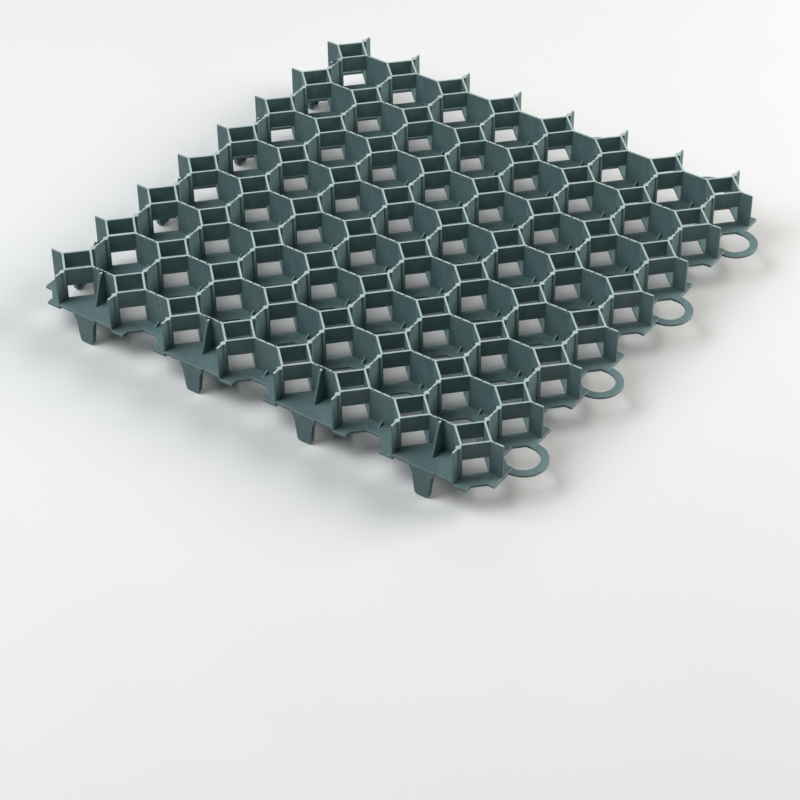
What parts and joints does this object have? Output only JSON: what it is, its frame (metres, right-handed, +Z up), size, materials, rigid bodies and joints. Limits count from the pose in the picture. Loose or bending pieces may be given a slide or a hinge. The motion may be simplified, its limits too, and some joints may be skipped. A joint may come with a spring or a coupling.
{
  "type": "grass paver grid",
  "caption": "Square plastic paver grid with octagonal and small square cells, joined to its neighbours by pegs and rings, for reinforcing grass or gravel.",
  "frame": {"origin": "centre of the whole outline, at the level of the peg tips that the panel stands on", "axes": "+Z up, from the pegs to the open top of the cells; +X towards the right edge and +Y towards the back edge, the two edges with rings"},
  "size_m": [0.5239, 0.5239, 0.064],
  "materials": {
    "grid_plastic": "matt recycled plastic, dark grey-green"
  },
  "bodies": {
    "root": {"paver_grid": "grid_plastic"}
  },
  "joints": []
}
